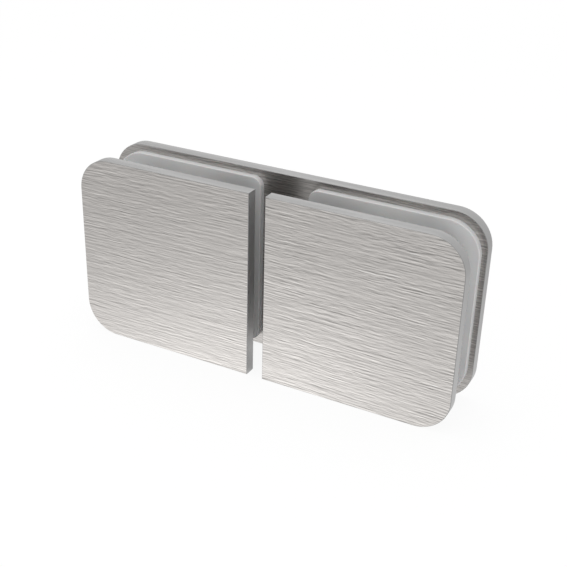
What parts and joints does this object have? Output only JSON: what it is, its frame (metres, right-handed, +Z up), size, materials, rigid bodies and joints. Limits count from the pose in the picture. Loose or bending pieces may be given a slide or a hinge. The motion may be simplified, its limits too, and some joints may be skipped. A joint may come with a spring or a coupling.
{
  "type": "glass clamp",
  "caption": "Flat clamp that joins glass panes edge to edge: a long rear plate and separate front plates with rounded ends, lined with gaskets and drawn together by countersunk screws.",
  "frame": {"origin": "centre of the clamp's bounding box: the middle of its length and height, halfway between the rear and front faces", "axes": "+X along the clamp from the left pane to the right pane, +Y to the rear plate, +Z up"},
  "size_m": [0.094, 0.0172, 0.045],
  "materials": {
    "brushed_plate": "stainless steel sheet, long fine brushing along the clamp",
    "gasket": "moulded soft vinyl, translucent pale grey",
    "turned_steel": "turned stainless steel",
    "sleeve": "natural nylon",
    "screw_steel": "stainless steel, turned face"
  },
  "bodies": {
    "rear": {"rear_plate": "brushed_plate", "rear_gasket_left": "gasket", "rear_gasket_right": "gasket"},
    "front_left": {"front_plate_left": "brushed_plate", "front_gasket_left": "gasket", "boss_left_upper": "turned_steel", "sleeve_left_upper": "sleeve", "boss_left_lower": "turned_steel", "sleeve_left_lower": "sleeve"},
    "front_right": {"front_plate_right": "brushed_plate", "front_gasket_right": "gasket", "boss_right_upper": "turned_steel", "sleeve_right_upper": "sleeve", "boss_right_lower": "turned_steel", "sleeve_right_lower": "sleeve"},
    "screw_left_upper": {"screw_left_upper": "screw_steel"},
    "screw_left_lower": {"screw_left_lower": "screw_steel"},
    "screw_right_upper": {"screw_right_upper": "screw_steel"},
    "screw_right_lower": {"screw_right_lower": "screw_steel"}
  },
  "joints": [
    {"name": "front_left_clamping", "type": "slide", "parent": "rear", "child": "front_left", "axis": [0, 1, 0], "range_m": [-0.002, 0.002]},
    {"name": "front_right_clamping", "type": "slide", "parent": "rear", "child": "front_right", "axis": [0, 1, 0], "range_m": [-0.002, 0.002]},
    {"name": "screw_left_upper_turn", "type": "hinge", "parent": "rear", "child": "screw_left_upper", "pos_m": [-0.0245, 0.0086, 0.011], "axis": [0, -1, 0], "range_deg": [-900, 900]},
    {"name": "screw_left_lower_turn", "type": "hinge", "parent": "rear", "child": "screw_left_lower", "pos_m": [-0.0245, 0.0086, -0.011], "axis": [0, -1, 0], "range_deg": [-900, 900]},
    {"name": "screw_right_upper_turn", "type": "hinge", "parent": "rear", "child": "screw_right_upper", "pos_m": [0.0245, 0.0086, 0.011], "axis": [0, -1, 0], "range_deg": [-900, 900]},
    {"name": "screw_right_lower_turn", "type": "hinge", "parent": "rear", "child": "screw_right_lower", "pos_m": [0.0245, 0.0086, -0.011], "axis": [0, -1, 0], "range_deg": [-900, 900]}
  ],
  "couplings": [
    {"joint": "screw_left_upper_turn", "follows": "front_left_clamping", "rad_per_m": 7854},
    {"joint": "screw_left_lower_turn", "follows": "front_left_clamping", "rad_per_m": 7854},
    {"joint": "screw_right_upper_turn", "follows": "front_right_clamping", "rad_per_m": 7854},
    {"joint": "screw_right_lower_turn", "follows": "front_right_clamping", "rad_per_m": 7854}
  ]
}
